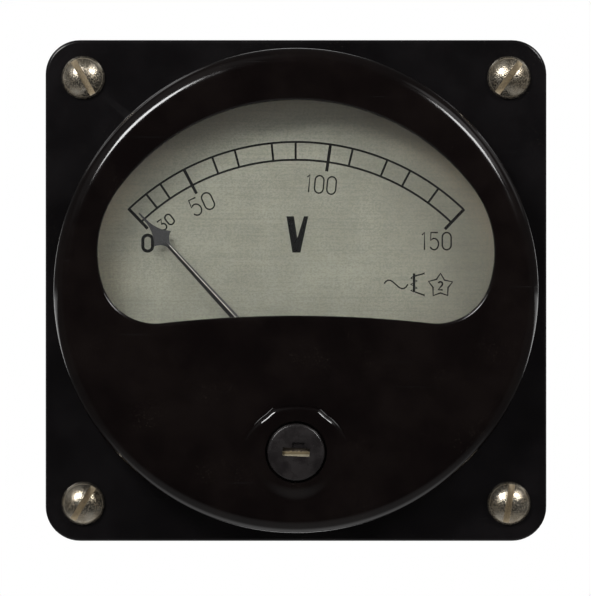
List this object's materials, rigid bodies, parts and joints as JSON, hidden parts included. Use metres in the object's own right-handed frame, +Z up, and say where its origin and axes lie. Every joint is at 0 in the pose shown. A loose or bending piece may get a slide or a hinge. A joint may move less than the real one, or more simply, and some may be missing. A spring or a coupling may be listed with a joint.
{
  "type": "analog panel meter",
  "caption": "Square-flanged round panel meter with a curved window, a swinging pointer over a voltage scale, a slotted zero adjuster and rear stud terminals.",
  "frame": {"origin": "centre of the flange's back face, where the panel lies", "axes": "-Y out of the dial towards the viewer, +Y through the panel, +X to the viewer's right, +Z up"},
  "size_m": [0.08, 0.0552, 0.08],
  "materials": {
    "black_moulding": "polished black phenolic",
    "adjuster_moulding": "dark grey phenolic",
    "coil_moulding": "brown phenolic",
    "glass": "clear flat glass",
    "seal": "black rubber",
    "nickel": "aged nickel plate",
    "zinc_steel": "zinc plated",
    "brass": "turned brass",
    "bronze_strip": "spring bronze",
    "sheet_metal": "plain sheet",
    "dial_face": "silvered, printed in black",
    "pointer_paint": "black paint",
    "steel": "ground steel",
    "copper_wire": "enamelled copper",
    "resistor_body": "green enamel"
  },
  "bodies": {
    "housing": {"adjuster_washer": "zinc_steel", "bearing_nuts": "brass", "bracket_pillars": "brass", "bracket_screws": "zinc_steel", "bridge_screws": "zinc_steel", "coil_bobbin": "coil_moulding", "coil_bracket": "sheet_metal", "coil_lead_in": "copper_wire", "coil_lead_out": "copper_wire", "coil_screws": "zinc_steel", "coil_winding": "copper_wire", "cover_screws": "zinc_steel", "damper_box": "coil_moulding", "damper_screws": "zinc_steel", "dial_plate": "dial_face", "dial_screws": "zinc_steel", "fixed_iron": "steel", "front_bearing": "brass", "front_bridge": "sheet_metal", "front_cover": "black_moulding", "glass_retainer": "zinc_steel", "glass_seal": "seal", "movement_plate": "sheet_metal", "panel_screws": "nickel", "plate_screws": "zinc_steel", "rear_bearing": "brass", "rear_case": "black_moulding", "resistor_clip": "sheet_metal", "resistor_lead": "copper_wire", "retainer_screws": "zinc_steel", "series_resistor": "resistor_body", "solder_tags": "brass", "terminal_nuts": "brass", "terminal_studs": "brass", "terminal_washers": "brass", "window_glass": "glass"},
    "adjuster": {"zero_adjuster": "adjuster_moulding", "adjuster_core": "brass", "adjuster_clip": "zinc_steel"},
    "zero_lever": {"zero_lever": "bronze_strip", "hairspring": "bronze_strip"},
    "moving_system": {"staff": "steel", "pointer": "pointer_paint", "pointer_hub": "brass", "balance_arms": "bronze_strip", "balance_weights": "brass", "spring_collet": "brass", "moving_iron": "steel", "damping_vane": "sheet_metal"}
  },
  "joints": [
    {"name": "adjuster_turn", "type": "hinge", "parent": "housing", "child": "adjuster", "pos_m": [0, -0.014, -0.0257], "axis": [0, 1, 0], "range_deg": [-40, 40]},
    {"name": "lever_turn", "type": "hinge", "parent": "housing", "child": "zero_lever", "pos_m": [0, -0.00925, -0.0149], "axis": [0, 1, 0], "range_deg": [-4.2, 4.2]},
    {"name": "pointer_turn", "type": "hinge", "parent": "zero_lever", "child": "moving_system", "pos_m": [0, -0.0068, -0.0149], "axis": [0, 1, 0], "range_deg": [-1.5, 88], "stiffness_Nm_per_rad": 0.000015}
  ],
  "couplings": [
    {"joint": "lever_turn", "follows": "adjuster_turn", "ratio": -0.0965}
  ]
}
